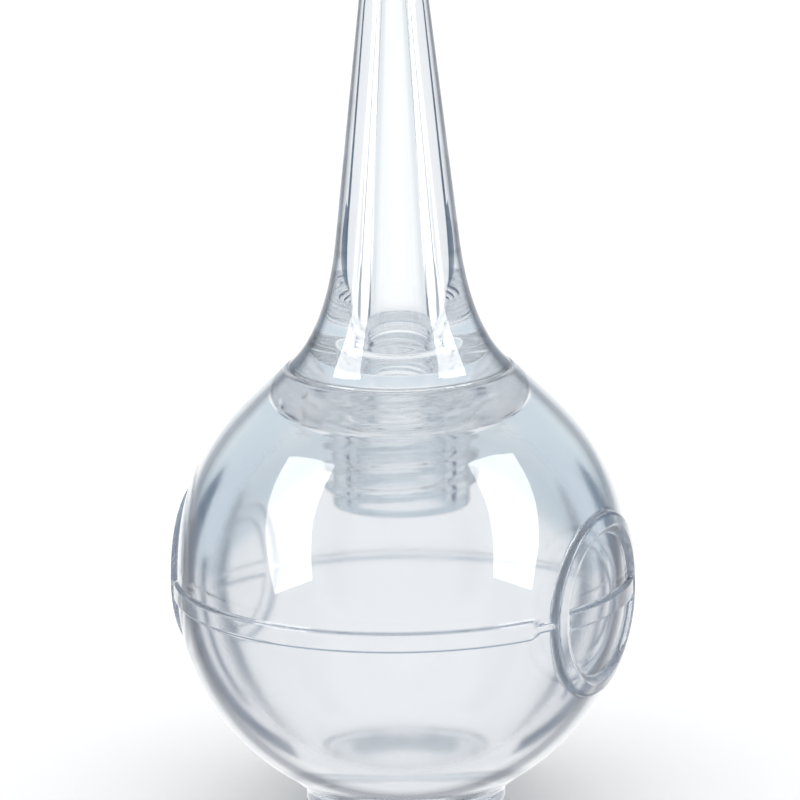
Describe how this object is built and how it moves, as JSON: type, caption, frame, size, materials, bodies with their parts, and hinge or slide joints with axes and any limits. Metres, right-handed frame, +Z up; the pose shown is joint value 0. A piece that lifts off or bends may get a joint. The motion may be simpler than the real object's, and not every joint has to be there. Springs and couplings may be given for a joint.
{
  "type": "nasal aspirator",
  "caption": "Clear baby nasal aspirator: a round squeeze bulb with two grip pads and a flat foot, and a tapered nozzle that unscrews from its neck.",
  "frame": {"origin": "centre of the flat foot, on the surface that the aspirator stands on", "axes": "+Z up along the nozzle, +X and -X through the two grip pads, -Y is the side with the blank raised strip"},
  "size_m": [0.0566, 0.0566, 0.1035],
  "materials": {
    "bulb_plastic": "clear soft moulded plastic, high gloss, faint blue-grey tint where it is thick",
    "nozzle_plastic": "clear firm moulded plastic, high gloss",
    "ring_plastic": "clear firm plastic with moulded threads",
    "seal": "clear soft ring, satin"
  },
  "bodies": {
    "bulb": {"bulb_lower_shell": "bulb_plastic", "bulb_upper_shell": "bulb_plastic", "joining_belt": "bulb_plastic", "neck_thread_ring": "ring_plastic"},
    "pad_left": {"grip_pad_left": "bulb_plastic"},
    "pad_right": {"grip_pad_right": "bulb_plastic"},
    "seal": {"seal_ring": "seal"},
    "nozzle_body": {"nozzle": "nozzle_plastic"}
  },
  "joints": [
    {"name": "squeeze", "type": "slide", "parent": "bulb", "child": "pad_left", "axis": [1, 0, 0], "range_m": [0, 0.0105], "stiffness_N_per_m": 400},
    {"name": "squeeze_opposite", "type": "slide", "parent": "bulb", "child": "pad_right", "axis": [-1, 0, 0], "range_m": [0, 0.0105], "stiffness_N_per_m": 400},
    {"name": "nozzle_lift", "type": "slide", "parent": "bulb", "child": "seal", "axis": [0, 0, 1], "range_m": [0, 0.0136]},
    {"name": "nozzle_twist", "type": "hinge", "parent": "seal", "child": "nozzle_body", "pos_m": [0, 0, 0.0549], "axis": [0, 0, 1], "range_deg": [0, 1800]}
  ],
  "couplings": [
    {"joint": "squeeze_opposite", "follows": "squeeze", "ratio": 1},
    {"joint": "nozzle_lift", "follows": "nozzle_twist", "m_per_rad": 0.00042972}
  ]
}
